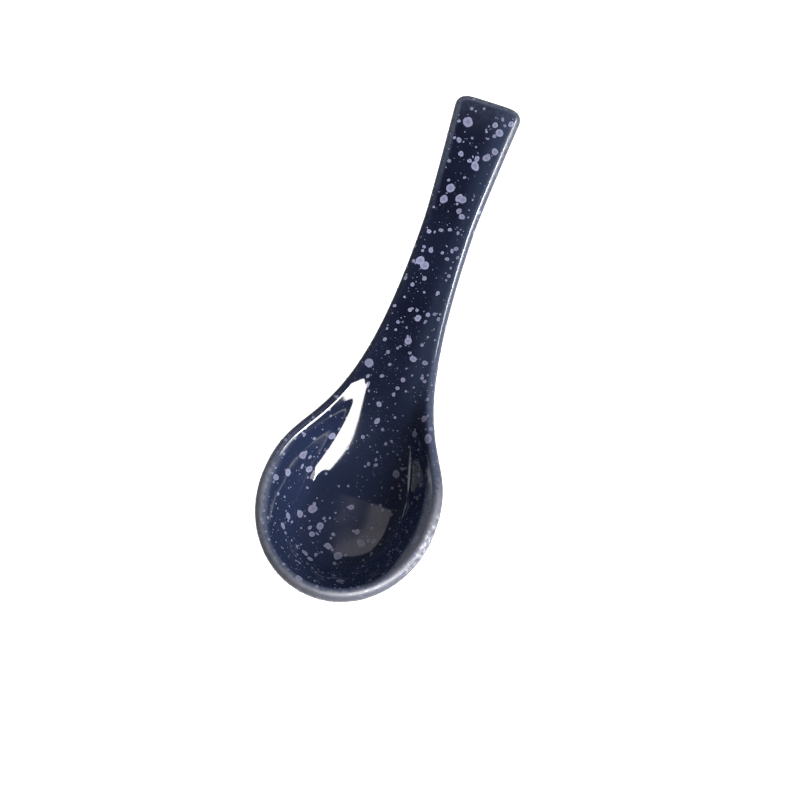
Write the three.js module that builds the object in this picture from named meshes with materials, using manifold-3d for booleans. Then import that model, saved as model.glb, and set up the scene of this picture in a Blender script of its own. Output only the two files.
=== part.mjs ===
// A glazed stoneware soup spoon: a moulded clay body under a thin coat of glass.
// Millimetres, +Z up. It stands on its bare foot with the handle towards +Y and the tip towards -Y.
// The origin is the middle of the foot's flat face.
import * as THREE from "three";
import { mergeVertices } from "three/addons/utils/BufferGeometryUtils.js";
import Module from "manifold-3d";

const wasm = await Module();
wasm.setup();

// Plan seen from above, with lengths taken from the tip of the bowl
const PLAN_LENGTH = 133.5;
const BOWL_WIDTH = 46;
const BOWL_FRONT = 26; // tip to the widest line
const SHOULDER = 23; // pull of the bowl's curve on the neck
const NECK_SWEEP = 61; // pull of the waist's curve on the neck
const WAIST_FROM_TIP = 101;
const WAIST_WIDTH = 13.5;
const FLARE_EASE = 5; // waist to where the handle's sides start to spread
const END_WIDTH = 17.4;
const END_ROUND = 3.2; // length taken up by the rounded corners of the handle's end
const END_SQUARENESS = 5.5; // power of the end's curve: higher is squarer

// Heights and thicknesses
const BOWL_DEPTH = 12.4;
const BASE_THICKNESS = 4.3; // floor of the bowl to its underside
const FOOT_HEIGHT = 0.8; // standing surface to the underside of the bowl
const HANDLE_THICKNESS = 5;
const CHANNEL_DEPTH = 0.5; // hollow along the top of the handle, fading to its end
const CLIMB_START = 31.5; // tip to where the bowl's floor begins to climb to the neck
const CHANNEL_START = 62; // tip to where the bowl's floor has become the channel
const KEEL_START = 49; // tip to where the underside begins to rise
const KEEL_END = 82; // tip to where the underside has become the handle's
const RIM_ROUND = 1.55;
const HANDLE_ROUND = 1.6;
const WALL_STEEPNESS = 2.3; // slope of the bowl's inner wall under the rim, per depth over reach
const NECK_STEEPNESS = 2.75; // the same at the neck
const WALL_DROP = 1.05; // pull of that slope on the inner wall
const FLOOR_SPREAD = 0.86; // share of the bowl's reach that its floor spreads flat
const BELLY = 2.2; // power of the underside's curve: 2 is an ellipse

// Rise of the neck and handle above the rim of the bowl
const HANDLE_RISE = 21;
const RISE_START = 44;
const END_SLOPE = THREE.MathUtils.degToRad(14);

// Bare foot and the glaze that stops short of it
const FOOT_FROM_TIP = 12.5;
const FOOT_LENGTH = 43;
const FOOT_WIDTH = 19;
const FOOT_TAPER = 0.35; // how much narrower the foot is towards the handle
const FOOT_EDGE = 0.5; // bevel round the standing face
const FOOT_ROOT = 1.5; // how far the foot runs up into the body
const GLAZE = 0.4;
const GLAZE_SETBACK = 0.6; // bare ring between the glaze and the foot

// Facets
const TIP_STEPS = 11;
const NECK_STEPS = 15;
const FLARE_STEPS = 5;
const END_STEPS = 6;
const FLOOR_STEPS = 9;
const ROUND_STEPS = 3;
const BELLY_STEPS = 7;
const FOOT_STEPS = 36;
const MERGE = 1e-4;

const { clamp, lerp, smoothstep } = THREE.MathUtils;
const RIGHT_ANGLE = Math.PI / 2;
const END_LINE = PLAN_LENGTH - END_ROUND;
const FOOT_MIDDLE = FOOT_FROM_TIP + FOOT_LENGTH / 2;
const RIM_HEIGHT = FOOT_HEIGHT + BASE_THICKNESS + BOWL_DEPTH;

// The handle's blunt end, from its side to its middle.
class HandleEnd extends THREE.Curve {
  getPoint(t) {
    const angle = RIGHT_ANGLE * t;
    const beyond = END_ROUND * Math.sin(angle);
    const spread = (END_WIDTH - WAIST_WIDTH) / 2 / (END_LINE - WAIST_FROM_TIP - FLARE_EASE);
    const half = END_WIDTH / 2 + spread * beyond;
    return new THREE.Vector2(half * Math.cos(angle) ** (2 / END_SQUARENESS), END_LINE + beyond);
  }
}

// The right half of the plan outline, from the tip round the bowl to the middle of the handle's end:
// points on the edge, each with the direction square to the edge and into the spoon.
function planOutline() {
  const bowlHalf = BOWL_WIDTH / 2;
  const waistHalf = WAIST_WIDTH / 2;
  const neck = new THREE.CubicBezierCurve(
    new THREE.Vector2(bowlHalf, BOWL_FRONT),
    new THREE.Vector2(bowlHalf, BOWL_FRONT + SHOULDER),
    new THREE.Vector2(waistHalf, WAIST_FROM_TIP - NECK_SWEEP),
    new THREE.Vector2(waistHalf, WAIST_FROM_TIP),
  );
  const flare = new THREE.QuadraticBezierCurve(
    new THREE.Vector2(waistHalf, WAIST_FROM_TIP),
    new THREE.Vector2(waistHalf, WAIST_FROM_TIP + FLARE_EASE),
    new THREE.Vector2(END_WIDTH / 2, END_LINE),
  );
  const runs = [
    [new THREE.EllipseCurve(0, BOWL_FRONT, bowlHalf, BOWL_FRONT, -RIGHT_ANGLE, 0), TIP_STEPS],
    [neck, NECK_STEPS],
    [flare, FLARE_STEPS],
    [new HandleEnd(), END_STEPS],
  ];
  const outline = [];
  runs.forEach(([curve, steps], run) => {
    for (let i = run === 0 ? 0 : 1; i <= steps; i++) {
      const along = curve.getTangent(i / steps);
      outline.push({
        edge: curve.getPoint(i / steps),
        inward: new THREE.Vector2(-along.y, along.x),
      });
    }
  });
  // At the tip and at the handle's end the edge crosses the middle line square to it
  outline[0].inward.set(0, 1);
  outline.at(-1).inward.set(0, -1);
  return outline;
}

// Depth of the top surface at the middle, below the rim.
function hollowDepth(y) {
  const bowl = lerp(BOWL_DEPTH, CHANNEL_DEPTH, smoothstep(y, CLIMB_START, CHANNEL_START));
  return bowl * (1 - smoothstep(y, CHANNEL_START, END_LINE));
}

// Height from the underside at the middle up to the rim.
function bodyHeight(y) {
  return lerp(BOWL_DEPTH + BASE_THICKNESS, HANDLE_THICKNESS, smoothstep(y, KEEL_START, KEEL_END));
}

// How far the neck and handle have climbed, level at the bowl and at END_SLOPE at the far end.
function rise(y) {
  const run = PLAN_LENGTH - RISE_START;
  const t = clamp((y - RISE_START) / run, 0, 1);
  return HANDLE_RISE * t * t * (3 - 2 * t) + Math.tan(END_SLOPE) * run * t * t * (t - 1);
}

// The half section that ends at one point of the outline: floor, rim, side and underside. Round the
// tip and the handle's end the sections fan out from one point of the middle line.
function sectionAt({ edge, inward }) {
  const middle = new THREE.Vector2(0, clamp(edge.y, BOWL_FRONT, END_LINE));
  const round = lerp(RIM_ROUND, HANDLE_ROUND, smoothstep(middle.y, BOWL_FRONT, WAIST_FROM_TIP));
  const depth = hollowDepth(middle.y);
  const alongBowl = smoothstep(middle.y, BOWL_FRONT, CHANNEL_START);
  const steepness = lerp(WALL_STEEPNESS, NECK_STEEPNESS, alongBowl);
  const slope = (steepness * depth) / (edge.distanceTo(middle) - round);
  const lean = Math.atan(slope);
  const points = [];
  const add = (plan, height) => {
    const z = RIM_HEIGHT + height + rise(plan.y);
    points.push(new THREE.Vector3(plan.x, plan.y - FOOT_MIDDLE, z));
  };
  const fromEdge = (distance) => edge.clone().addScaledVector(inward, distance);

  // The floor climbs from the middle to the lip and meets the rim's rounding at its slope
  const lip = fromEdge(round * (1 + Math.sin(lean)));
  const lipHeight = round * (Math.cos(lean) - 1);
  const run = lip.distanceTo(middle);
  const squareness = middle.clone().sub(lip).divideScalar(run).dot(inward);
  const wall = (WALL_DROP * run) / steepness;
  const floor = new THREE.CubicBezierCurve(
    new THREE.Vector2(0, -depth),
    new THREE.Vector2(FLOOR_SPREAD * run, -depth),
    new THREE.Vector2(run - wall, Math.max(lipHeight - wall * slope * squareness, -depth)),
    new THREE.Vector2(run, lipHeight),
  );
  for (const point of floor.getPoints(FLOOR_STEPS)) {
    add(middle.clone().lerp(lip, point.x / run), point.y);
  }

  // The rim rolls over from the lip to the crest and on to the side
  for (let i = 1; i <= ROUND_STEPS; i++) {
    const turn = lean * (1 - i / ROUND_STEPS);
    add(fromEdge(round * (1 + Math.sin(turn))), round * (Math.cos(turn) - 1));
  }
  for (let i = 1; i <= ROUND_STEPS; i++) {
    const turn = (RIGHT_ANGLE * i) / ROUND_STEPS;
    add(fromEdge(round * (1 - Math.sin(turn))), round * (Math.cos(turn) - 1));
  }

  // The underside curves back to the middle
  const drop = bodyHeight(middle.y) - round;
  for (let i = 1; i <= BELLY_STEPS; i++) {
    const turn = (RIGHT_ANGLE * i) / BELLY_STEPS;
    const out = Math.max(Math.cos(turn), 0) ** (2 / BELLY);
    add(middle.clone().lerp(edge, out), -round - drop * Math.sin(turn) ** (2 / BELLY));
  }
  return points;
}

// One closed indexed surface from loose triangles.
function closedSurface(corners) {
  const loose = new THREE.BufferGeometry().setFromPoints(corners);
  const merged = mergeVertices(loose, MERGE);
  const kept = [];
  for (let i = 0; i < merged.index.count; i += 3) {
    const [a, b, c] = merged.index.array.subarray(i, i + 3);
    if (a !== b && b !== c && c !== a) kept.push(a, b, c);
  }
  return merged.setIndex(kept);
}

// Triangles between two rows of points of equal length.
function stripBetween(first, second) {
  const corners = [];
  for (let j = 1; j < first.length; j++) {
    corners.push(first[j - 1], second[j - 1], second[j]);
    corners.push(first[j - 1], second[j], first[j]);
  }
  return corners;
}

// The outside of the spoon, lofted through its half sections and mirrored at the middle.
function spoonSurface() {
  const rows = planOutline().map(sectionAt);
  const corners = [];
  for (let i = 1; i < rows.length; i++) {
    corners.push(...stripBetween(rows[i], rows[i - 1]));
  }
  const mirrored = corners.map((point) => new THREE.Vector3(-point.x, point.y, point.z)).reverse();
  return closedSurface([...corners, ...mirrored]);
}

// The same surface moved inwards, square to itself.
function insetSurface(surface, distance) {
  const inset = surface.clone();
  inset.computeVertexNormals();
  const position = inset.attributes.position;
  const point = new THREE.Vector3();
  const normal = new THREE.Vector3();
  for (let i = 0; i < position.count; i++) {
    normal.fromBufferAttribute(inset.attributes.normal, i);
    point.fromBufferAttribute(position, i).addScaledVector(normal, -distance);
    position.setXYZ(i, point.x, point.y, point.z);
  }
  inset.deleteAttribute("normal");
  return inset;
}

// Height of a body's underside over one point of the plan.
function undersideOf(body, x, y) {
  const below = new THREE.Vector3(x, y, -RIM_HEIGHT);
  const upwards = new THREE.Vector3(0, 0, 1);
  return new THREE.Raycaster(below, upwards).intersectObject(body)[0].point.z;
}

// Egg-shaped outline of the foot, widened all round by a distance.
function footOutline(widen, heightAt) {
  const points = [];
  for (let i = 0; i <= FOOT_STEPS; i++) {
    const angle = (2 * Math.PI * (i % FOOT_STEPS)) / FOOT_STEPS;
    const half = (FOOT_WIDTH / 2) * (1 - FOOT_TAPER * Math.cos(angle)) + widen;
    const x = half * Math.sin(angle);
    const y = (FOOT_LENGTH / 2 + widen) * Math.cos(angle);
    points.push(new THREE.Vector3(x, y, heightAt(x, y)));
  }
  return points;
}

// A block under the body from a list of [widening, height] rings, rooted in the body above it.
function footBlock(body, rings) {
  const rootHeight = (x, y) => undersideOf(body, x, y) + FOOT_ROOT;
  const rows = rings.map(([widen, height]) => footOutline(widen, () => height));
  rows.push(footOutline(rings.at(-1)[0], rootHeight));
  const bottom = rows[0].map(() => new THREE.Vector3(0, 0, rings[0][1]));
  const top = rows[0].map(() => new THREE.Vector3(0, 0, rootHeight(0, 0)));
  const all = [bottom, ...rows, top];
  return closedSurface(all.slice(1).flatMap((row, i) => stripBetween(all[i], row)));
}

function toSolid(surface) {
  return new wasm.Manifold(
    new wasm.Mesh({
      numProp: 3,
      vertProperties: surface.attributes.position.array,
      triVerts: new Uint32Array(surface.index.array),
    }),
  );
}

function toMesh(name, solid, material) {
  const { vertProperties, triVerts } = solid.getMesh();
  const geometry = new THREE.BufferGeometry()
    .setAttribute("position", new THREE.BufferAttribute(vertProperties, 3))
    .setIndex(new THREE.BufferAttribute(triVerts, 1));
  geometry.computeVertexNormals();
  const mesh = new THREE.Mesh(geometry, material);
  mesh.name = name;
  return mesh;
}

const outside = spoonSurface();
const underGlaze = insetSurface(outside, GLAZE);
const body = new THREE.Mesh(underGlaze);
const foot = footBlock(body, [[-FOOT_EDGE, 0], [0, FOOT_EDGE]]);
const bareGround = footBlock(body, [[GLAZE_SETBACK, -FOOT_EDGE]]);

const clay = toSolid(underGlaze).add(toSolid(foot));
const coat = toSolid(outside).subtract(clay).subtract(toSolid(bareGround));

const bareClay = new THREE.MeshStandardMaterial({ color: 0xb3a690, roughness: 0.85, metalness: 0 });
const navyGlaze = new THREE.MeshStandardMaterial({ color: 0x141d3a, roughness: 0.08, metalness: 0 });

const spoon = new THREE.Group();
spoon.add(toMesh("clay_body", clay, bareClay));
spoon.add(toMesh("glaze_coat", coat, navyGlaze));

export default spoon;
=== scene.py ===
"""A glazed stoneware soup spoon: fired clay, a navy glass coat, and pale drops melted into the coat.

Metres, +Z up. The spoon stands on its bare foot, the handle points to +Y, and the origin is the
middle of the foot.
"""
from math import atan, cos, pi, radians, sin, tan

import bpy
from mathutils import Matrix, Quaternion, Vector
from mathutils.bvhtree import BVHTree
from mathutils.kdtree import KDTree


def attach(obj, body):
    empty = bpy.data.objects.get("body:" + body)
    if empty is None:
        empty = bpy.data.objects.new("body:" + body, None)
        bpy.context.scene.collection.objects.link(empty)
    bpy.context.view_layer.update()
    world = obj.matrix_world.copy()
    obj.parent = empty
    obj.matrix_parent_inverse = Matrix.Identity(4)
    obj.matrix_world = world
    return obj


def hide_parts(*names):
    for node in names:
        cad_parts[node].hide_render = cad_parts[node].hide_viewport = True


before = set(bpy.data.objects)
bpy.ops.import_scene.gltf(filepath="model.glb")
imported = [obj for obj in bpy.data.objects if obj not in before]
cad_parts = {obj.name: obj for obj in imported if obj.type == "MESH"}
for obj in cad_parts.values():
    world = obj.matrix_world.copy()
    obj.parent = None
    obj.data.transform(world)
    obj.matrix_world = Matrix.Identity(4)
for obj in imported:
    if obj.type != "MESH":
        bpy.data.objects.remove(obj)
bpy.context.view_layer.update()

# Plan of the spoon, with lengths taken from the tip of the bowl
PLAN_LENGTH = 0.1335
BOWL_WIDTH = 0.046
BOWL_FRONT = 0.026  # tip to the widest place
SHOULDER = 0.023  # how far the bowl's width carries on behind that place
NECK_SWEEP = 0.061  # how long the curve into the waist is
WAIST_FROM_TIP = 0.101
WAIST_WIDTH = 0.0135
FLARE_EASE = 0.005  # how far the waist's width carries on
END_WIDTH = 0.0174
END_ROUND = 0.0032
END_SQUARENESS = 5.5  # 2 is round, more is squarer

# Heights and thicknesses
BOWL_DEPTH = 0.0124
BASE_THICKNESS = 0.0043
FOOT_HEIGHT = 0.0008
HANDLE_THICKNESS = 0.005
CHANNEL_DEPTH = 0.0005
CLIMB_START = 0.0315  # where the bowl's floor starts to climb, from the tip
CHANNEL_START = 0.062  # where it has become the handle's channel
KEEL_START = 0.049  # where the underside starts to climb, from the tip
KEEL_END = 0.082  # where it has become the handle's underside
RIM_ROUND = 0.00155
HANDLE_ROUND = 0.0016
WALL_STEEPNESS = 2.3  # the wall's slope under the rim, against a straight line from the middle
NECK_STEEPNESS = 2.75  # the same in the neck
WALL_DROP = 1.05  # how far down the wall keeps that slope
FLOOR_SPREAD = 0.86  # how far out the floor stays level
BELLY = 2.2  # 2 is an ellipse, more is fuller
HANDLE_RISE = 0.021
RISE_START = 0.044  # where the neck starts to climb, from the tip
END_SLOPE = radians(14)

# Bare foot and the glaze that stops short of it
FOOT_FROM_TIP = 0.0125
FOOT_LENGTH = 0.043
FOOT_WIDTH = 0.019
FOOT_TAPER = 0.35  # how much narrower the foot is towards the handle
FOOT_EDGE = 0.0005
FOOT_ROOT = 0.0015  # how far the foot reaches into the body
GLAZE = 0.0004
GLAZE_SETBACK = 0.0006  # bare clay round the foot
GLAZE_LIP = 0.0004

# Mesh steps along the plan's four runs, and over a half section
TIP_STEPS = 44
NECK_STEPS = 76
FLARE_STEPS = 26
END_STEPS = 26
FLOOR_STEPS = 36
ROUND_STEPS = 9
BELLY_STEPS = 32
FOOT_STEPS = 120
EDGE_STEPS = 5

# Small steps, and values worked out from the ones above
RIGHT_ANGLE = pi / 2
TANGENT_STEP = 1e-4
SAME_PLACE = 1e-7
SHARP_ANGLE = radians(40)
END_LINE = PLAN_LENGTH - END_ROUND
FOOT_MIDDLE = FOOT_FROM_TIP + FOOT_LENGTH / 2
RIM_HEIGHT = FOOT_HEIGHT + BASE_THICKNESS + BOWL_DEPTH

# Glaze runs thin over the edges and shows the clay under it
FRONT_BAND = 0.0031  # how far in from the edge the thin band reaches, at the bowl's front
LEFT_BAND = 0.0040  # the same at its left
RIGHT_BAND = 0.0054  # the same at its right
HANDLE_BAND = 0.0024  # the same on the handle
OUTSIDE_BANDS = (0.0050, 0.0022)  # the same, down the outside, at the bowl and on the handle
CREST = 0.3  # share of that reach over which the coat is thinnest
RIGHT_CREST = 0.72  # the same inside the bowl's right side
SIDE_TURN = (0.0155, 0.0225)  # how far from the middle the bowl's front turns into its sides
RIGHT_EDGE_GLARE = 0.5  # painted highlight: how much further the right side's edge is painted towards pale, for a lamp's glare on it
EDGE_TURN = (-0.5, 0.6)  # where that starts and is full, from -1 inside the rim to 1 outside
THIN_FADE = (0.022, 0.046)  # where the rim's thin band fades towards the handle, from the tip
LEFT_HANDLE_THIN = 0.18  # how thin the coat runs on the handle's left edge beside the bowl's rim
RIGHT_HANDLE_THIN_AND_SHEEN = 0.45  # the same on its right edge, painted paler there than on the left as painted sheen
END_THIN_AND_SHEEN = 0.8  # the same round the handle's end, where the coat runs thin and dull; its greyer colour there is partly painted sheen
END_THIN_REACH = 0.036
END_HAZE = 0.22  # how thin the coat runs all over the handle's end
END_HAZE_REACH = 0.014

# Camera: the photograph's view
PICTURE = 800
CAMERA_AIM = Vector((0.00308, 0.021656, 0.0175))
CAMERA_AZIMUTH = radians(19.745)
CAMERA_ELEVATION = radians(68.185)
CAMERA_DISTANCE = 0.75
CAMERA_LENS = 133.28
CAMERA_SENSOR = 36.0
FOCAL_PIXELS = PICTURE * CAMERA_LENS / CAMERA_SENSOR
PIXEL = CAMERA_DISTANCE / FOCAL_PIXELS

# The larger pale drops that the photograph shows: pixel across, pixel down, width in pixels
SEEN_DROPS = [
    # Handle, from its end to the waist
    (468, 122, 11), (459, 121, 4), (499.5, 133, 8), (495, 125, 6), (511, 124, 6.5), (495, 152, 8),
    (486.5, 158, 8.5), (475, 166, 10.5), (477, 159, 6), (461, 154, 6), (459, 140, 5), (450.5, 188, 9),
    (444, 199, 9), (459, 198, 9), (463, 200, 8.5), (459, 211, 6), (462, 217, 5.5), (441, 230, 5),
    (450, 230, 4.5), (458, 233, 4), (429, 231.5, 4.5), (431, 250, 6), (452, 251, 4.5), (456, 249, 4.5),
    (447, 259, 4.5), (420, 260.5, 9.5), (424.5, 265.5, 9.5), (424.5, 278.5, 5), (449, 276, 4),
    # Neck
    (438, 293, 4), (410, 310, 4.5), (418, 318, 7), (428, 315, 5), (398, 322, 4), (408, 341, 7.5),
    (410, 353, 4), (413, 359, 7), (425, 363, 6), (369, 363, 9), (368, 376, 4.5), (382, 376, 5),
    (403, 380, 5), (379, 404, 6.5), (377, 421, 7), (424, 419, 7.5), (428, 439, 10), (414.5, 434, 7),
    # Bowl
    (332, 436, 8), (303, 455, 10), (309, 469, 9), (288, 472.5, 8), (276, 477, 8), (376, 465, 5),
    (396, 474, 8), (419, 475, 6), (421, 485, 5), (417, 498, 6), (351, 507, 7), (313, 509, 10),
    (300, 514, 8), (288, 516, 8), (283, 526, 8), (320, 526, 9), (310, 527.5, 5), (312, 534, 6),
    (357, 532, 6), (361, 543, 9), (374, 541, 6), (416, 539.5, 10), (328, 546, 8), (305, 553, 8),
    (310, 559, 7), (338, 556, 9), (299, 578, 7), (340, 581, 8),
]

# Pale drops
DROP_SIDES = 14
FLECK_SIDES = 8
DROP_RINGS = [(0.55, 1.0), (0.93, 1.0), (1.0, -0.6), (0.55, -0.6)]  # distance from the middle, and lift
FLECK_RINGS = [(0.85, 1.0), (1.0, -0.6)]
DROP_TONE = (0.55, 1.0)  # dull to clear
DROP_SWELL = (0.7, 1.3)  # flat to plump
DROP_STRETCH = (0.74, 1.05)  # oval to round
HIDDEN_SMALL = 2.0  # the higher, the more of the drops on the hidden sides are small
FLECK_SMALL = 2.5  # the same for the flecks
RIPPLE_SCALE = 700.0  # waves per metre in the drops' outlines
DROP_SEED = 11
DROP_SIZES = {
    "Drop Lift": 0.00006,
    "Drop Ripple": 0.0006,
    "Full Ripple Radius": 0.0009,
    "Hidden Drops": 21000.0,  # per square metre
    "Hidden Least": 0.0005,
    "Hidden Most": 0.0014,
    "Flecks": 190000.0,  # per square metre
    "Fleck Least": 0.00012,
    "Fleck Most": 0.0006,
}

# Studio
WHITE = (1, 1, 1, 1)
FLOOR_GREY = (0.4, 0.4, 0.4, 1)
FLOOR_GLOW = (0.15, 1.2)  # thrown on the spoon, and as seen
SKY_GLOW = (0.08, 1.1)
FLOOR_ROUGHNESS = 0.9
FLOOR_SIZE = 8.0
LAMP_DISTANCE = 0.8
LAMP_WHITE = (1.0, 1.0, 1.0)
PANEL_MAUVE = (1.0, 0.94, 1.0)
BOWL_MIDDLE = Vector((0.0, 0.0, 0.012))

# Lamps: azimuth and elevation in degrees, width, height, brightness, roll in degrees, colour
MIRRORED_LAMPS = {
    "window_front": (28.3, 50.6, 0.375, 0.396, 26, -28, LAMP_WHITE),
    "window_right": (58.8, 42, 0.517, 0.56, 26, -10, LAMP_WHITE),
    "window_back": (90, 40, 0.25, 0.54, 7, 0, LAMP_WHITE),
    "strip_back": (92, 53, 0.26, 0.08, 30, 0, LAMP_WHITE),
    "panel_back_left": (-146.8, 63.6, 0.188, 0.128, 1.2, -37, PANEL_MAUVE),
}
THROWN_LAMPS = {
    "key_right": (76, 30, 0.5, 0.4, 23, 0, LAMP_WHITE),
    "fill_left": (-125, 35, 0.6, 0.6, 3.6, 0, LAMP_WHITE),
}


def lerp(start, end, t):
    return start + (end - start) * t


def clamp(value, low, high):
    return min(max(value, low), high)


def smoothstep(value, low, high):
    t = clamp((value - low) / (high - low), 0.0, 1.0)
    return t * t * (3 - 2 * t)


def bezier(points, t):
    while len(points) > 1:
        points = [a.lerp(b, t) for a, b in zip(points, points[1:])]
    return points[0]


# Plan outline: each run is a curve from 0 to 1
def tip_curve(t):
    angle = RIGHT_ANGLE * (t - 1)
    return Vector((BOWL_WIDTH / 2 * cos(angle), BOWL_FRONT * (1 + sin(angle))))


def neck_curve(t):
    bowl_half = BOWL_WIDTH / 2
    waist_half = WAIST_WIDTH / 2
    return bezier([
        Vector((bowl_half, BOWL_FRONT)),
        Vector((bowl_half, BOWL_FRONT + SHOULDER)),
        Vector((waist_half, WAIST_FROM_TIP - NECK_SWEEP)),
        Vector((waist_half, WAIST_FROM_TIP)),
    ], t)


def flare_curve(t):
    waist_half = WAIST_WIDTH / 2
    return bezier([
        Vector((waist_half, WAIST_FROM_TIP)),
        Vector((waist_half, WAIST_FROM_TIP + FLARE_EASE)),
        Vector((END_WIDTH / 2, END_LINE)),
    ], t)


def end_curve(t):
    angle = RIGHT_ANGLE * t
    beyond = END_ROUND * sin(angle)
    spread = (END_WIDTH - WAIST_WIDTH) / 2 / (END_LINE - WAIST_FROM_TIP - FLARE_EASE)
    half = END_WIDTH / 2 + spread * beyond
    return Vector((half * max(cos(angle), 0.0) ** (2 / END_SQUARENESS), END_LINE + beyond))


def plan_outline():
    """Points of the right half of the outline, each with its direction square to the edge, inwards."""
    runs = [
        (tip_curve, TIP_STEPS),
        (neck_curve, NECK_STEPS),
        (flare_curve, FLARE_STEPS),
        (end_curve, END_STEPS),
    ]
    outline = []
    for run, (curve, steps) in enumerate(runs):
        for i in range(0 if run == 0 else 1, steps + 1):
            t = i / steps
            along = curve(min(t + TANGENT_STEP, 1)) - curve(max(t - TANGENT_STEP, 0))
            along.normalize()
            outline.append((curve(t), Vector((-along.y, along.x))))
    outline[0] = (outline[0][0], Vector((0, 1)))
    outline[-1] = (Vector((0, PLAN_LENGTH)), Vector((0, -1)))
    return outline


def hollow_depth(y):
    bowl = lerp(BOWL_DEPTH, CHANNEL_DEPTH, smoothstep(y, CLIMB_START, CHANNEL_START))
    return bowl * (1 - smoothstep(y, CHANNEL_START, END_LINE))


def body_height(y):
    return lerp(BOWL_DEPTH + BASE_THICKNESS, HANDLE_THICKNESS, smoothstep(y, KEEL_START, KEEL_END))


def rise(y):
    """How far the neck and handle have climbed above the bowl's rim."""
    run = PLAN_LENGTH - RISE_START
    t = clamp((y - RISE_START) / run, 0, 1)
    return HANDLE_RISE * t * t * (3 - 2 * t) + tan(END_SLOPE) * run * t * t * (t - 1)


def section_at(edge, inward, side):
    """Half a section, floor to underside: places, how thin the glaze runs there with a painted highlight
    on the right side's edge, and which lie outside.
    """
    middle = Vector((0, clamp(edge.y, BOWL_FRONT, END_LINE)))
    along_neck = smoothstep(middle.y, BOWL_FRONT, WAIST_FROM_TIP)
    rim = lerp(RIM_ROUND, HANDLE_ROUND, along_neck)
    near_end = smoothstep(edge.y, END_LINE - END_THIN_REACH, END_LINE)
    # Partly painted sheen: the handle's right edge and its end are painted paler
    handle_thin = RIGHT_HANDLE_THIN_AND_SHEEN if side > 0 else LEFT_HANDLE_THIN
    thinness = lerp(lerp(1, handle_thin, smoothstep(edge.y, *THIN_FADE)), END_THIN_AND_SHEEN, near_end)
    to_side = smoothstep(edge.x, *SIDE_TURN)
    on_right = to_side if side > 0 else 0.0
    side_band = RIGHT_BAND if side > 0 else LEFT_BAND
    inside_band = lerp(lerp(FRONT_BAND, side_band, to_side), HANDLE_BAND, along_neck)
    inside_crest = lerp(CREST, RIGHT_CREST, on_right)
    outside_band = lerp(*OUTSIDE_BANDS, along_neck)
    depth = hollow_depth(middle.y)
    steepness = lerp(WALL_STEEPNESS, NECK_STEEPNESS, smoothstep(middle.y, BOWL_FRONT, CHANNEL_START))
    slope = steepness * depth / ((edge - middle).length - rim)
    lean = atan(slope)
    places, thin, outside = [], [], []

    def add(plan, height, cover, out, glare_paint=0.0):
        places.append(Vector((side * plan.x, plan.y - FOOT_MIDDLE, RIM_HEIGHT + height + rise(plan.y))))
        haze = END_HAZE * smoothstep(plan.y, PLAN_LENGTH - END_HAZE_REACH, PLAN_LENGTH)
        thin.append(max(thinness * (1 - cover + glare_paint), haze))
        outside.append(out)

    def inside_cover(distance):
        return smoothstep(distance, inside_crest * inside_band, inside_band)

    def add_rim(turn):
        distance = rim * (1 + sin(turn))
        # Painted highlight: the right side's edge is painted pale where a lamp's glare falls on it
        glare_paint = RIGHT_EDGE_GLARE * on_right * smoothstep(-sin(turn), *EDGE_TURN)
        add(edge + inward * distance, rim * (cos(turn) - 1), inside_cover(distance), 0.0, glare_paint)

    # Floor: climbs from the middle to the lip and meets the rim's rounding at its slope
    lip = edge + inward * rim * (1 + sin(lean))
    lip_height = rim * (cos(lean) - 1)
    run = (lip - middle).length
    squareness = (middle - lip).normalized().dot(inward)
    wall = WALL_DROP * run / steepness
    floor = [
        Vector((0, -depth)),
        Vector((FLOOR_SPREAD * run, -depth)),
        Vector((run - wall, max(lip_height - wall * slope * squareness, -depth))),
        Vector((run, lip_height)),
    ]
    for i in range(FLOOR_STEPS + 1):
        point = bezier(floor, i / FLOOR_STEPS)
        plan = middle.lerp(lip, point.x / run)
        add(plan, point.y, inside_cover((edge - plan).length), 0.0)

    # Rim: rolls over from the lip to the crest and on to the side
    for i in range(1, ROUND_STEPS + 1):
        add_rim(lean * (1 - i / ROUND_STEPS))
    for i in range(1, ROUND_STEPS + 1):
        add_rim(-RIGHT_ANGLE * i / ROUND_STEPS)

    # Underside: curves back to the middle
    drop = body_height(middle.y) - rim
    for i in range(1, BELLY_STEPS + 1):
        turn = RIGHT_ANGLE * i / BELLY_STEPS
        out = max(cos(turn), 0.0) ** (2 / BELLY) if i < BELLY_STEPS else 0.0
        fall = rim + drop * sin(turn) ** (2 / BELLY)
        cover = smoothstep(fall, CREST * outside_band, outside_band)
        # Painted highlight: the same pale glare is painted down the right side's outside
        glare_paint = RIGHT_EDGE_GLARE * on_right * (1 - cover)
        add(middle.lerp(edge, out), -fall, cover, 1.0, glare_paint)
    return places, thin, outside


# Meshes
def new_object(name, mesh):
    made = bpy.data.objects.new(name, mesh)
    bpy.context.collection.objects.link(made)
    return made


def give_numbers(mesh, name, values):
    """Stores one number for every point of a mesh."""
    mesh.attributes.new(name, "FLOAT", "POINT").data.foreach_set("value", values)


def closed_mesh(name, points, faces, attributes):
    """A mesh with its doubled points merged, carrying one number of each attribute for every point."""
    merged = {}
    order = []
    index = []
    for i, point in enumerate(points):
        key = tuple(round(value / SAME_PLACE) for value in point)
        if key not in merged:
            merged[key] = len(order)
            order.append(i)
        index.append(merged[key])
    kept = []
    for face in faces:
        corners = list(dict.fromkeys(index[corner] for corner in face))
        if len(corners) > 2:
            kept.append(corners)
    mesh = bpy.data.meshes.new(name)
    mesh.from_pydata([points[i] for i in order], [], kept)
    for label, values in attributes.items():
        give_numbers(mesh, label, [values[i] for i in order])
    mesh.shade_smooth()
    return mesh


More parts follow.
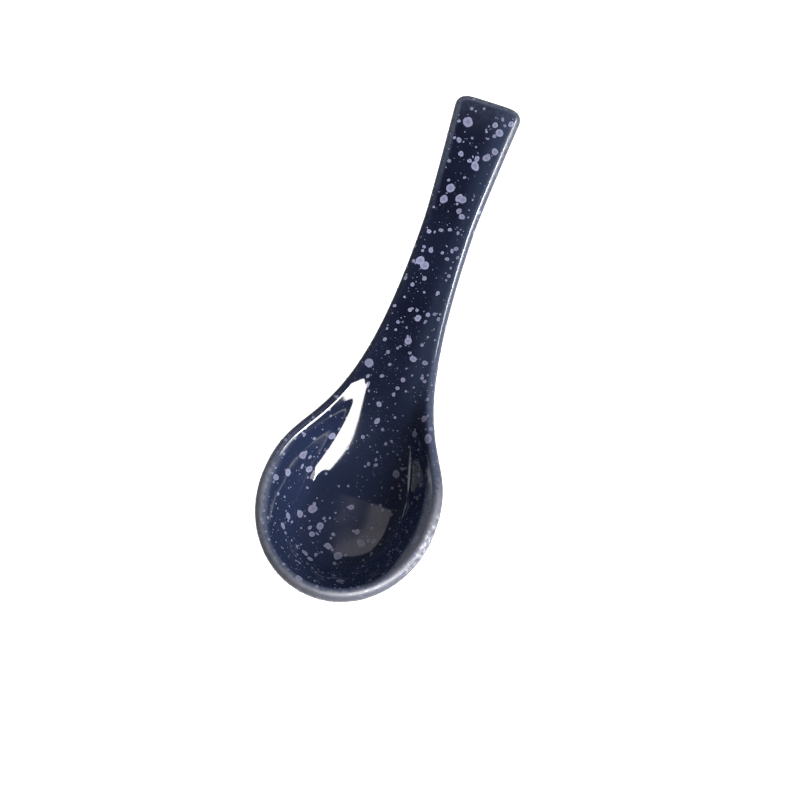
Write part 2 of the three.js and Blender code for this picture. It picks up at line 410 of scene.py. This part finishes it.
def rows_to_faces(rows, columns, flip=False):
    faces = []
    for i in range(1, rows):
        for j in range(1, columns):
            a = (i - 1) * columns + j
            b = i * columns + j
            corners = [b - 1, a - 1, a, b]
            faces.append(corners[::-1] if flip else corners)
    return faces


def in_foot(point, widen):
    """Whether a point of the underside lies within the foot's outline, widened."""
    reach = FOOT_LENGTH / 2 + widen
    along = clamp(point.y / reach, -1, 1)
    half = FOOT_WIDTH / 2 * (1 - FOOT_TAPER * along) + widen
    return (point.x / half) ** 2 + (point.y / reach) ** 2 < 1 and point.z < RIM_HEIGHT / 2


def spoon_surface():
    """The outside of the spoon, lofted through its half sections, right half first."""
    outline = plan_outline()
    sections = [section_at(*point, side) for side in (1, -1) for point in outline]
    points, thin, outside = ([value for section in sections for value in section[k]] for k in range(3))
    right = rows_to_faces(len(outline), len(sections[0][0]))
    left = [[corner + len(points) // 2 for corner in face[::-1]] for face in right]
    bare = [float(out and in_foot(point, 2 * GLAZE_SETBACK)) for point, out in zip(points, outside)]
    attributes = {"thin": thin, "outside": outside, "bare": bare}
    return closed_mesh("spoon_surface", points, right + left, attributes)


def inset(mesh, distance):
    """A copy of a mesh moved inwards, square to itself."""
    moved = mesh.copy()
    for vertex, normal in zip(moved.vertices, mesh.vertex_normals):
        vertex.co -= normal.vector * distance
    return moved


def tree_of(mesh):
    return BVHTree.FromPolygons([v.co for v in mesh.vertices], [p.vertices for p in mesh.polygons])


def foot_ring(widen, height_at):
    """Egg-shaped outline of the foot, widened all round."""
    ring = []
    for i in range(FOOT_STEPS + 1):
        angle = 2 * pi * (i % FOOT_STEPS) / FOOT_STEPS
        half = FOOT_WIDTH / 2 * (1 - FOOT_TAPER * cos(angle)) + widen
        x = half * sin(angle)
        y = (FOOT_LENGTH / 2 + widen) * cos(angle)
        ring.append(Vector((x, y, height_at(x, y))))
    return ring


def block_of(name, rings):
    """A closed block from a stack of rings, lowest first."""

    def middle(ring):
        return [sum(ring[1:], Vector()) / FOOT_STEPS] * len(ring)

    rows = [middle(rings[0]), *rings, middle(rings[-1])]
    points = [point for row in rows for point in row]
    faces = rows_to_faces(len(rows), FOOT_STEPS + 1, flip=True)
    return new_object(name, closed_mesh(name, points, faces, {}))


def applied(piece):
    """The piece's mesh with its modifiers applied."""
    graph = bpy.context.evaluated_depsgraph_get()
    mesh = bpy.data.meshes.new_from_object(
        piece.evaluated_get(graph), preserve_all_data_layers=True, depsgraph=graph)
    piece.modifiers.clear()
    return mesh


def combine(piece, other, operation):
    """Joins another solid to the piece or cuts it away."""
    modifier = piece.modifiers.new(operation.lower(), "BOOLEAN")
    modifier.object = other
    modifier.operation = operation
    modifier.solver = "EXACT"
    piece.data = applied(piece)


def remove_helpers(*helpers):
    for helper in helpers:
        bpy.data.objects.remove(helper)


def finish_piece(piece, material, node=None):
    piece.data.materials.clear()
    piece.data.materials.append(material)
    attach(piece, "root")
    if node:
        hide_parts(node)


# Node trees
def node(tree, kind, inputs=None, **settings):
    """A node with its settings, and its inputs set to values or linked from other nodes' outputs."""
    made = tree.nodes.new(kind)
    for name, value in settings.items():
        setattr(made, name, value)
    for key, value in (inputs or {}).items():
        if isinstance(value, bpy.types.NodeSocket):
            tree.links.new(value, made.inputs[key])
        else:
            made.inputs[key].default_value = value
    return made


def shader(name):
    material = bpy.data.materials.new(name)
    material.use_nodes = True
    tree = material.node_tree
    return material, tree, tree.nodes["Principled BSDF"]


def blend_colours(tree, factor, first, second):
    mixed = node(tree, "ShaderNodeMix", {0: factor, 6: first, 7: second}, data_type="RGBA")
    return mixed.outputs[2]


def ramp(tree, value, low, high, start=0.0, end=1.0):
    """The value carried smoothly from low..high to start..end."""
    mapped = node(tree, "ShaderNodeMapRange", {0: value, 1: low, 2: high, 3: start, 4: end},
                  interpolation_type="SMOOTHSTEP")
    return mapped.outputs[0]


def product(tree, first, second):
    return node(tree, "ShaderNodeMath", {0: first, 1: second}, operation="MULTIPLY").outputs[0]


def noise(tree, place, scale, detail=2.0):
    cloud = node(tree, "ShaderNodeTexNoise", {"Vector": place, "Scale": scale, "Detail": detail})
    return cloud.outputs["Fac"]


def attribute(tree, name):
    return node(tree, "ShaderNodeAttribute", attribute_name=name).outputs["Fac"]


def coordinate(tree, place, axis):
    return node(tree, "ShaderNodeSeparateXYZ", {"Vector": place}).outputs[axis]


def specks(tree, place, scale, least, most):
    """Round specks, one in each cell of a random pattern, most of them small."""
    cells = node(tree, "ShaderNodeTexVoronoi", {"Vector": place, "Scale": scale})
    chance = node(tree, "ShaderNodeSeparateColor", {"Color": cells.outputs["Color"]}).outputs["Red"]
    size = node(tree, "ShaderNodeMapRange", {0: chance, 1: 0.0, 2: 1.0, 3: least, 4: most}).outputs[0]
    inside = node(tree, "ShaderNodeMath", {0: size, 1: cells.outputs["Distance"]}, operation="SUBTRACT")
    return ramp(tree, inside.outputs[0], 0.0, 0.05)


# Colours of the glaze, where it is thick and where it runs thin
NAVY_DEEP = (0.0034, 0.0046, 0.0148, 1)
NAVY_MID = (0.0064, 0.0092, 0.0250, 1)
NAVY_BLUE = (0.0122, 0.0184, 0.0440, 1)
# Painted sheen: the bluer colour on the right side of the neck and handle
HANDLE_SHEEN_BLUE = (0.024, 0.034, 0.066, 1)
THIN_BLUE = (0.055, 0.067, 0.106, 1)
THIN_GREY = (0.088, 0.092, 0.118, 1)
# Painted highlight: the colour of a lamp's glare on the right side's edge
GLARE_PALE = (0.46, 0.46, 0.52, 1)
SPECK_LILAC = (0.07, 0.07, 0.11, 1)

# Colours of the drops and of the clay
DROP_LILAC = (0.19, 0.197, 0.305, 1)
# Painted shade: the drops' colour at the bowl's right
DROP_SHADED = (0.045, 0.046, 0.066, 1)
DROP_DULL = (0.11, 0.113, 0.172, 1)
# Painted light: the drops' paler colour on the handle
DROP_LIT = (0.29, 0.295, 0.45, 1)
CLAY_BUFF = (0.50, 0.43, 0.33, 1)
CLAY_TOASTED = (0.36, 0.28, 0.20, 1)
CLAY_IRON = (0.16, 0.11, 0.08, 1)

# Where the colours change, in metres along or across the spoon
BLUE_BOWL = (0.004, 0.026)  # from here the bowl's bluer glaze gives way to the handle's deeper one
LIT_TO_SHADED = (-0.008, 0.013)  # and from here, left to right, painted light on the bowl's left wall gives way to painted shade, for the glaze and the drops
PAINTED_LIGHT_AT_RIGHT = 0.4  # how much of that painted light is left at the bowl's right
SHEEN_ALONG = (0.014, 0.042)  # from here along the neck a painted sheen turns the glaze bluer again
SHEEN_ACROSS = (0.0005, 0.0068)  # towards the right edge, where the sheen is painted
DROPS_LIT_ALONG = (0.020, 0.050)  # from here the drops are painted paler, as painted light on the handle
DROP_SHADE = 0.7  # how much painted shade darkens the drops at the bowl's right

# Patterns in the glaze and the clay, as cells or waves per metre
POOLS = 55.0
MOTTLE = 900.0
MIST_PATCHES = 90.0
FINE_SPECKS = 2600.0
COARSE_SPECKS = 1200.0
GLAZE_WAVES = 120.0
DROP_CLOUDS = 2500.0
TOASTED_PATCHES = 110.0
IRON_SPECKS = 900.0
CLAY_GRAIN = 4000.0

# How much of the specks shows: least and most radius, as a share of a cell, none below zero
FINE_SIZES = (-0.2, 0.3)
COARSE_SIZES = (-0.25, 0.22)
IRON_SIZES = (-0.3, 0.2)

# Thinness at which one colour of the coat has given way to the next
TURNS_BLUE = (0.0, 0.45)
TURNS_GREY = (0.35, 1.0)
# Past full thinness only the painted highlight on the right side's edge reaches
TURNS_GLARE = (1.0, 1.7)
TURNS_DULL = (0.35, 0.9)

# Surface finish
GLOSS = 0.075
THIN_GLOSS = 0.55
DROP_GLOSS = 2 * GLOSS
GLASS_IOR = 1.5
WAVE_HEIGHT = 0.0004
WAVE_STRENGTH = 0.07
CLAY_ROUGHNESS = 0.85
GRAIN_HEIGHT = 0.0001
GRAIN_STRENGTH = 0.5


def navy_glaze():
    """Near-black navy glass, bluer where it pools, worn thin on the rim, with a mist of fine specks;
    painted lighter on the bowl's left wall with painted shade to its right, a painted sheen on the
    handle's right side, and a painted highlight on the right side's edge.
    """
    material, tree, surface = shader("navy_glaze")
    place = node(tree, "ShaderNodeTexCoord").outputs["Object"]
    across = coordinate(tree, place, "X")
    along = coordinate(tree, place, "Y")
    pooled = ramp(tree, noise(tree, place, POOLS), 0.35, 0.65)
    colour = blend_colours(tree, pooled, NAVY_DEEP, NAVY_MID)
    # Painted light and shade: the bowl's left wall, which faces the lamps, is painted bluer and lighter,
    # fading towards its right
    in_bowl = ramp(tree, along, *BLUE_BOWL, 1.0, 0.0)
    lit_left = ramp(tree, across, *LIT_TO_SHADED, 1.0, PAINTED_LIGHT_AT_RIGHT)
    colour = blend_colours(tree, product(tree, in_bowl, lit_left), colour, NAVY_BLUE)
    # Painted sheen: the right side of the neck and handle is painted bluer
    on_handle = ramp(tree, along, *SHEEN_ALONG)
    on_right = ramp(tree, across, *SHEEN_ACROSS)
    colour = blend_colours(tree, product(tree, on_handle, on_right), colour, HANDLE_SHEEN_BLUE)

    mottle = ramp(tree, noise(tree, place, MOTTLE, 3.0), 0.3, 0.7, 0.68, 1.0)
    thin = product(tree, attribute(tree, "thin"), mottle)
    colour = blend_colours(tree, ramp(tree, thin, *TURNS_BLUE), colour, THIN_BLUE)
    colour = blend_colours(tree, ramp(tree, thin, *TURNS_GREY), colour, THIN_GREY)
    # Painted highlight: the right side's edge turns pale
    colour = blend_colours(tree, ramp(tree, thin, *TURNS_GLARE), colour, GLARE_PALE)

    patches = ramp(tree, noise(tree, place, MIST_PATCHES), 0.42, 0.62)
    fine = product(tree, specks(tree, place, FINE_SPECKS, *FINE_SIZES), patches)
    coarse = specks(tree, place, COARSE_SPECKS, *COARSE_SIZES)
    mist = node(tree, "ShaderNodeMath", {0: fine, 1: coarse}, operation="MAXIMUM").outputs[0]
    colour = blend_colours(tree, mist, colour, SPECK_LILAC)
    tree.links.new(colour, surface.inputs["Base Color"])
    tree.links.new(ramp(tree, thin, *TURNS_DULL, GLOSS, THIN_GLOSS), surface.inputs["Roughness"])
    surface.inputs["IOR"].default_value = GLASS_IOR
    waves = node(tree, "ShaderNodeBump", {
        "Height": noise(tree, place, GLAZE_WAVES, 1.0),
        "Distance": WAVE_HEIGHT,
        "Strength": WAVE_STRENGTH,
    })
    tree.links.new(waves.outputs[0], surface.inputs["Normal"])
    return material


def pale_glaze():
    """Drops of a lilac-grey glaze, paler towards the edge, painted paler on the handle as painted light,
    and darker at the bowl's right as painted shade.
    """
    material, tree, surface = shader("pale_glaze")
    place = node(tree, "ShaderNodeTexCoord").outputs["Object"]
    across = coordinate(tree, place, "X")
    along = coordinate(tree, place, "Y")
    ring = ramp(tree, attribute(tree, "across"), 0.15, 0.75, 0.35, 1.0)
    cloud = ramp(tree, noise(tree, place, DROP_CLOUDS), 0.3, 0.7, 0.8, 1.0)
    clear = product(tree, product(tree, ring, cloud), attribute(tree, "tone"))
    # Painted light: the drops on the handle are painted paler
    bright = blend_colours(tree, ramp(tree, along, *DROPS_LIT_ALONG), DROP_LILAC, DROP_LIT)
    colour = blend_colours(tree, clear, DROP_DULL, bright)
    # Painted shade: the drops in the hollow at the bowl's right are painted darker
    in_bowl = ramp(tree, along, *BLUE_BOWL, 1.0, 0.0)
    on_right = ramp(tree, across, *LIT_TO_SHADED, 0.0, DROP_SHADE)
    painted_shade = product(tree, product(tree, in_bowl, on_right), attribute(tree, "hollow"))
    tree.links.new(blend_colours(tree, painted_shade, colour, DROP_SHADED), surface.inputs["Base Color"])
    surface.inputs["Roughness"].default_value = DROP_GLOSS
    surface.inputs["IOR"].default_value = GLASS_IOR
    return material


def bare_clay():
    """Unglazed stoneware: buff, toasted in places, with iron specks and a fine grain."""
    material, tree, surface = shader("bare_clay")
    place = node(tree, "ShaderNodeTexCoord").outputs["Object"]
    toasted = ramp(tree, noise(tree, place, TOASTED_PATCHES, 4.0), 0.4, 0.7)
    colour = blend_colours(tree, toasted, CLAY_BUFF, CLAY_TOASTED)
    colour = blend_colours(tree, specks(tree, place, IRON_SPECKS, *IRON_SIZES), colour, CLAY_IRON)
    tree.links.new(colour, surface.inputs["Base Color"])
    surface.inputs["Roughness"].default_value = CLAY_ROUGHNESS
    grain = node(tree, "ShaderNodeBump", {
        "Height": noise(tree, place, CLAY_GRAIN, 6.0),
        "Distance": GRAIN_HEIGHT,
        "Strength": GRAIN_STRENGTH,
    })
    tree.links.new(grain.outputs[0], surface.inputs["Normal"])
    return material


# Pale drops
def lens(name, sides, rings):
    """A closed flat drop of radius 1, made of rings from its top to its underside."""
    points = [Vector()]
    across = [0.0]
    lift = [1.0]
    for distance, height in rings:
        for i in range(sides):
            angle = 2 * pi * i / sides
            points.append(Vector((distance * cos(angle), distance * sin(angle), 0)))
            across.append(distance)
            lift.append(height)
    faces = [[0, 1 + i, 1 + (i + 1) % sides] for i in range(sides)]
    for ring in range(1, len(rings)):
        inner = 1 + (ring - 1) * sides
        outer = 1 + ring * sides
        for i in range(sides):
            following = (i + 1) % sides
            faces.append([inner + i, outer + i, outer + following, inner + following])
    last = len(points) - sides
    bottom = len(points)
    faces += [[bottom, last + (i + 1) % sides, last + i] for i in range(sides)]
    points.append(Vector())
    across.append(0.0)
    lift.append(rings[-1][1])
    mesh = bpy.data.meshes.new(name)
    mesh.from_pydata(points, [], faces)
    give_numbers(mesh, "across", across)
    give_numbers(mesh, "lift", lift)
    mesh.shade_smooth()
    return new_object(name, mesh)


def pixel_ray(x, y, camera):
    """Direction from the camera through one pixel of the picture."""
    across = (x - PICTURE / 2) / FOCAL_PIXELS
    up = (PICTURE / 2 - y) / FOCAL_PIXELS
    return camera.rotation_euler.to_matrix() @ Vector((across, up, -1)).normalized()


def seen_drop_points(surface, camera):
    """One point on the surface for each of the larger drops, with the drop's radius."""
    cast = tree_of(surface)
    points = []
    sizes = []
    for x, y, width in SEEN_DROPS:
        place = cast.ray_cast(camera.location, pixel_ray(x, y, camera))[0]
        if place:
            points.append(place)
            sizes.append(width * PIXEL / 2)
    mesh = bpy.data.meshes.new("seen_drops")
    mesh.from_pydata(points, [], [])
    give_numbers(mesh, "radius_of_drop", sizes)
    return mesh


def drops_tree():
    """Geometry nodes that lay drops on a surface: at given points, and scattered."""
    tree = bpy.data.node_groups.new("pale_drops", "GeometryNodeTree")
    sockets = {}

    def add_input(name, kind):
        socket = tree.interface.new_socket(name=name, in_out="INPUT", socket_type=kind)
        sockets[name] = socket.identifier

    add_input("Seen Drops", "NodeSocketGeometry")
    for name in ("Surface", "Drop", "Fleck"):
        add_input(name, "NodeSocketObject")
    for name in DROP_SIZES:
        add_input(name, "NodeSocketFloat")
    add_input("Seed", "NodeSocketInt")
    add_input("Glaze", "NodeSocketMaterial")
    tree.interface.new_socket(name="Drops", in_out="OUTPUT", socket_type="NodeSocketGeometry")
    given = node(tree, "NodeGroupInput").outputs

    def mesh_of(name):
        return node(tree, "GeometryNodeObjectInfo", {"Object": given[name]}).outputs["Geometry"]

    def named(name):
        return node(tree, "GeometryNodeInputNamedAttribute", {"Name": name}, data_type="FLOAT").outputs[0]

    def store(geometry, name, value):
        return node(tree, "GeometryNodeStoreNamedAttribute",
                    {"Geometry": geometry, "Name": name, "Value": value}, data_type="FLOAT").outputs[0]

    def maths(operation, *values):
        return node(tree, "ShaderNodeMath", dict(enumerate(values)), operation=operation).outputs[0]

    def vectors(operation, inputs):
        return node(tree, "ShaderNodeVectorMath", inputs, operation=operation).outputs[0]

    def chance(low, high, offset):
        drawn = node(tree, "FunctionNodeRandomValue", {2: low, 3: high, 8: offset}, data_type="FLOAT")
        return drawn.outputs[1]

    surface = mesh_of("Surface")

    def under(value, kind):
        """What the surface's value is right under a point."""
        return node(tree, "GeometryNodeSampleNearestSurface",
                    {"Mesh": surface, "Value": value}, data_type=kind).outputs[0]

    facing = under(node(tree, "GeometryNodeInputNormal").outputs[0], "FLOAT_VECTOR")
    glazed = maths("SUBTRACT", 1.0, named("bare"))
    inside = maths("SUBTRACT", 1.0, named("outside"))
    thick = maths("SUBTRACT", 1.0, maths("MINIMUM", named("thin"), 1.0))
    hollow = under(maths("MULTIPLY", inside, thick), "FLOAT")

    def scatter(density, where, least, most, small, offset):
        """Points on the surface with random radii, small ones more often."""
        seed = maths("ADD", given["Seed"], offset)
        points = node(tree, "GeometryNodeDistributePointsOnFaces",
                      {"Mesh": surface, "Density": maths("MULTIPLY", density, where), "Seed": seed},
                      distribute_method="RANDOM").outputs["Points"]
        share = maths("POWER", chance(0.0, 1.0, offset), small)
        radius = maths("ADD", least, maths("MULTIPLY", share, maths("SUBTRACT", most, least)))
        return store(points, "radius_of_drop", radius)

    def lay(points, shape, offset):
        """One drop at each point, turned to face out of the surface, with a tone of its own."""
        points = store(points, "tone", chance(*DROP_TONE, offset))
        points = store(points, "swell", chance(*DROP_SWELL, offset + 1))
        points = store(points, "hollow", hollow)
        upright = node(tree, "FunctionNodeAlignRotationToVector", {"Vector": facing}, axis="Z").outputs[0]
        spin = node(tree, "FunctionNodeAxisAngleToRotation",
                    {"Axis": (0, 0, 1), "Angle": chance(0.0, 2 * pi, offset + 2)}).outputs[0]
        turned = node(tree, "FunctionNodeRotateRotation",
                      {"Rotation": upright, "Rotate By": spin}, rotation_space="LOCAL").outputs[0]
        radius = named("radius_of_drop")
        stretch = maths("MULTIPLY", radius, chance(*DROP_STRETCH, offset + 3))
        size = node(tree, "ShaderNodeCombineXYZ", {"X": radius, "Y": stretch, "Z": radius}).outputs[0]
        return node(tree, "GeometryNodeInstanceOnPoints",
                    {"Points": points, "Instance": shape, "Rotation": turned, "Scale": size}).outputs[0]

    seen = node(tree, "GeometryNodeMeshToPoints", {"Mesh": given["Seen Drops"]}).outputs[0]
    hidden_side = maths("MULTIPLY", named("outside"), glazed)
    hidden = scatter(given["Hidden Drops"], hidden_side,
                     given["Hidden Least"], given["Hidden Most"], HIDDEN_SMALL, 1)
    flecks = scatter(given["Flecks"], glazed,
                     given["Fleck Least"], given["Fleck Most"], FLECK_SMALL, 2)
    joined = node(tree, "GeometryNodeJoinGeometry")
    for points, shape, offset in ((seen, "Drop", 10), (hidden, "Drop", 20), (flecks, "Fleck", 30)):
        tree.links.new(lay(points, mesh_of(shape), offset), joined.inputs[0])
    drops = node(tree, "GeometryNodeRealizeInstances", {"Geometry": joined.outputs[0]}).outputs[0]

    # Uneven outlines, then every point of every drop follows the surface under it
    ripple = node(tree, "ShaderNodeTexNoise", {"Scale": RIPPLE_SCALE, "Detail": 1.0}).outputs["Color"]
    centred = vectors("SUBTRACT", {0: ripple, 1: (0.5, 0.5, 0.5)})
    share = maths("MINIMUM", maths("DIVIDE", named("radius_of_drop"), given["Full Ripple Radius"]), 1.0)
    shift = vectors("SCALE", {0: centred, "Scale": maths("MULTIPLY", given["Drop Ripple"], share)})
    drops = node(tree, "GeometryNodeSetPosition", {"Geometry": drops, "Offset": shift}).outputs[0]
    nearest = node(tree, "GeometryNodeProximity", {"Geometry": surface}, target_element="FACES")
    foot_point = nearest.outputs["Position"]
    height = maths("MULTIPLY", maths("MULTIPLY", named("lift"), named("swell")), given["Drop Lift"])
    raised = vectors("SCALE", {0: facing, "Scale": height})
    drops = node(tree, "GeometryNodeSetPosition",
                 {"Geometry": drops, "Position": foot_point, "Offset": raised}).outputs[0]
    smooth = node(tree, "GeometryNodeSetMeshNormal", mode="FREE", domain="POINT")
    tree.links.new(drops, smooth.inputs["Mesh"])
    tree.links.new(facing, smooth.inputs["Custom Normal"])
    drops = node(tree, "GeometryNodeSetMaterial",
                 {"Geometry": smooth.outputs[0], "Material": given["Glaze"]}).outputs[0]
    node(tree, "NodeGroupOutput", {"Drops": drops})
    return tree, sockets


def pale_drops(surface, camera, material):
    piece = new_object("pale_drops", seen_drop_points(surface.data, camera))
    drop = lens("drop_shape", DROP_SIDES, DROP_RINGS)
    fleck = lens("fleck_shape", FLECK_SIDES, FLECK_RINGS)
    tree, sockets = drops_tree()
    modifier = piece.modifiers.new("drops", "NODES")
    modifier.node_group = tree
    values = {"Surface": surface, "Drop": drop, "Fleck": fleck, "Seed": DROP_SEED, "Glaze": material}
    for name, value in (values | DROP_SIZES).items():
        modifier[sockets[name]] = value
    piece.data = applied(piece)
    remove_helpers(drop, fleck)
    finish_piece(piece, material)
    return piece


# The two bodies
def underside_of(mesh):
    """A function giving the height of a mesh's underside over a point of the plan."""
    cast = tree_of(mesh)

    def height_at(x, y):
        return cast.ray_cast(Vector((x, y, -RIM_HEIGHT)), Vector((0, 0, 1)))[0].z

    return height_at


def copy_attribute(name, source, target):
    """Gives each point of the target the nearest source point's number."""
    nearest = KDTree(len(source.vertices))
    for vertex in source.vertices:
        nearest.insert(vertex.co, vertex.index)
    nearest.balance()
    numbers = source.attributes[name].data
    values = [numbers[nearest.find(vertex.co)[1]].value for vertex in target.vertices]
    if name in target.attributes:
        target.attributes.remove(target.attributes[name])
    give_numbers(target, name, values)


def clay_body(core, material):
    """The moulded clay with its flat foot, whose edge is rounded over."""
    body = new_object("clay_body_fired", core.copy())
    root = underside_of(core)
    rings = []
    for i in range(EDGE_STEPS + 1):
        turn = RIGHT_ANGLE * i / EDGE_STEPS
        height = FOOT_EDGE * (1 - cos(turn))
        rings.append(foot_ring(FOOT_EDGE * (sin(turn) - 1), lambda x, y: height))
    rings.append(foot_ring(0, lambda x, y: root(x, y) + FOOT_ROOT))
    foot = block_of("foot", rings)
    combine(body, foot, "UNION")
    remove_helpers(foot)
    body.data.shade_smooth()
    body.data.set_sharp_from_angle(angle=SHARP_ANGLE)
    finish_piece(body, material, "clay_body")
    return body


def glaze_coat(surface, core, material):
    """The glass coat: the spoon's outside less the clay, open round the foot with a rounded lip."""
    coat = new_object("glaze_coat_fired", surface.copy())
    inner = new_object("inner", core.copy())
    skin = underside_of(surface)
    rings = [foot_ring(GLAZE_SETBACK + GLAZE_LIP, lambda x, y: -FOOT_EDGE)]
    for i in range(EDGE_STEPS + 1):
        turn = RIGHT_ANGLE * i / EDGE_STEPS
        widen = GLAZE_SETBACK + GLAZE_LIP * (1 - sin(turn))
        rings.append(foot_ring(widen, lambda x, y: skin(x, y) + GLAZE * (1 - cos(turn))))
    rings.append(foot_ring(GLAZE_SETBACK, lambda x, y: skin(x, y) + FOOT_ROOT))
    opening = block_of("opening", rings)
    combine(coat, inner, "DIFFERENCE")
    combine(coat, opening, "DIFFERENCE")
    remove_helpers(inner, opening)
    copy_attribute("thin", surface, coat.data)
    coat.data.shade_smooth()
    coat.data.set_sharp_from_angle(angle=SHARP_ANGLE)
    finish_piece(coat, material, "glaze_coat")
    return coat


# Studio
def direction(azimuth, elevation):
    """Azimuth 0 is towards -Y and 90 towards +X."""
    return Vector((sin(azimuth) * cos(elevation), -cos(azimuth) * cos(elevation), sin(elevation)))


def photograph_camera():
    camera = bpy.data.objects.new("camera", bpy.data.cameras.new("camera"))
    bpy.context.collection.objects.link(camera)
    camera.data.lens = CAMERA_LENS
    camera.data.sensor_width = CAMERA_SENSOR
    towards = direction(CAMERA_AZIMUTH, CAMERA_ELEVATION)
    camera.location = CAMERA_AIM + towards * CAMERA_DISTANCE
    camera.rotation_euler = towards.to_track_quat("Z", "Y").to_euler()
    bpy.context.scene.camera = camera
    return camera


def softbox(name, azimuth, elevation, width, height, brightness, roll, colour):
    """A rectangular lamp that faces the bowl."""
    lamp = bpy.data.lights.new(name, "AREA")
    lamp.shape = "RECTANGLE"
    lamp.size = width
    lamp.size_y = height
    lamp.energy = brightness * pi * width * height
    lamp.color = colour
    towards = direction(radians(azimuth), radians(elevation))
    placed = bpy.data.objects.new(name, lamp)
    bpy.context.collection.objects.link(placed)
    placed.location = BOWL_MIDDLE + towards * LAMP_DISTANCE
    turn = towards.to_track_quat("Z", "Y") @ Quaternion((0, 0, 1), radians(roll))
    placed.rotation_euler = turn.to_euler()
    return placed


def seen_or_thrown(tree, thrown, seen):
    """One strength for the light that a backdrop throws, another for the backdrop as seen."""
    looked_at = node(tree, "ShaderNodeLightPath").outputs["Is Camera Ray"]
    return ramp(tree, looked_at, 0.0, 1.0, thrown, seen)


def studio():
    """A white floor and sky, tall windows on the right and a dim panel behind on the left."""
    half = FLOOR_SIZE / 2
    corners = [(-half, -half, 0), (half, -half, 0), (half, half, 0), (-half, half, 0)]
    mesh = bpy.data.meshes.new("floor")
    mesh.from_pydata(corners, [], [[0, 1, 2, 3]])
    floor = new_object("floor", mesh)
    material, tree, surface = shader("white_table")
    surface.inputs["Base Color"].default_value = FLOOR_GREY
    surface.inputs["Roughness"].default_value = FLOOR_ROUGHNESS
    surface.inputs["Emission Color"].default_value = WHITE
    tree.links.new(seen_or_thrown(tree, *FLOOR_GLOW), surface.inputs["Emission Strength"])
    mesh.materials.append(material)

    # The lamps' mirror images on the glaze are far brighter than the light that they throw
    for name, values in MIRRORED_LAMPS.items():
        softbox(name, *values).visible_diffuse = False
    for name, values in THROWN_LAMPS.items():
        softbox(name, *values).visible_glossy = False

    world = bpy.data.worlds.new("studio")
    world.use_nodes = True
    tree = world.node_tree
    sky = tree.nodes["Background"]
    tree.links.new(seen_or_thrown(tree, *SKY_GLOW), sky.inputs["Strength"])
    sky.inputs["Color"].default_value = WHITE
    bpy.context.scene.world = world
    bpy.context.scene.view_settings.view_transform = "Standard"


camera = photograph_camera()
studio()
surface = spoon_surface()
core = inset(surface, GLAZE)
clay_body(core, bare_clay())
glaze_coat(surface, core, navy_glaze())
skin = new_object("skin", surface)
pale_drops(skin, camera, pale_glaze())
remove_helpers(skin)
